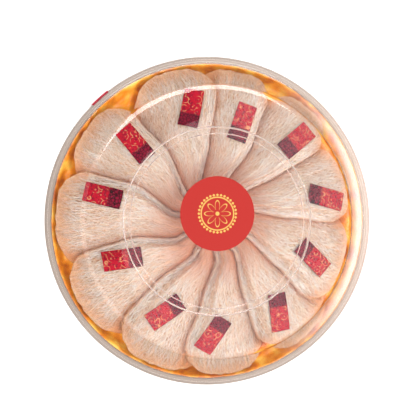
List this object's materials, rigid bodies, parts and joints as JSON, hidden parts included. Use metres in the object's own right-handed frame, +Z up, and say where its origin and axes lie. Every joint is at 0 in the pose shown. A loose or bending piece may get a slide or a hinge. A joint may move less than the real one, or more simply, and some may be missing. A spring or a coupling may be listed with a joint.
{
  "type": "boxed edible birds nests",
  "caption": "Round clear gift box with a stepped lid, lined with orange satin; pale strand-textured birds' nests lie in a pinwheel, each with a small paper label, under a round sticker",
  "frame": {"origin": "middle of the tray's flat underside", "axes": "+Z up through the lid; +Y is the picture's up, +X its right"},
  "size_m": [0.24, 0.24, 0.065],
  "materials": {
    "clear_plastic": "clear moulded polystyrene, polished",
    "orange_satin": "satin weave, soft folds",
    "nest_strands": "dried strands, translucent, slightly glossy",
    "label_paper": "coated crimson paper with gold ornament",
    "sticker_paper": "coated red paper with gold ornament"
  },
  "bodies": {
    "root": {"base_tray": "clear_plastic", "satin_lining": "orange_satin", "nest_01": "nest_strands", "nest_02": "nest_strands", "nest_03": "nest_strands", "nest_04": "nest_strands", "nest_05": "nest_strands", "nest_06": "nest_strands", "nest_07": "nest_strands", "nest_08": "nest_strands", "nest_09": "nest_strands", "nest_10": "nest_strands", "nest_11": "nest_strands", "label_01": "label_paper", "label_02": "label_paper", "label_03": "label_paper", "label_04": "label_paper", "label_05": "label_paper", "label_06": "label_paper", "label_07": "label_paper", "label_08": "label_paper", "label_09": "label_paper", "label_10": "label_paper", "label_11": "label_paper", "lid": "clear_plastic", "round_sticker": "sticker_paper", "rim_seal": "sticker_paper"}
  },
  "joints": []
}
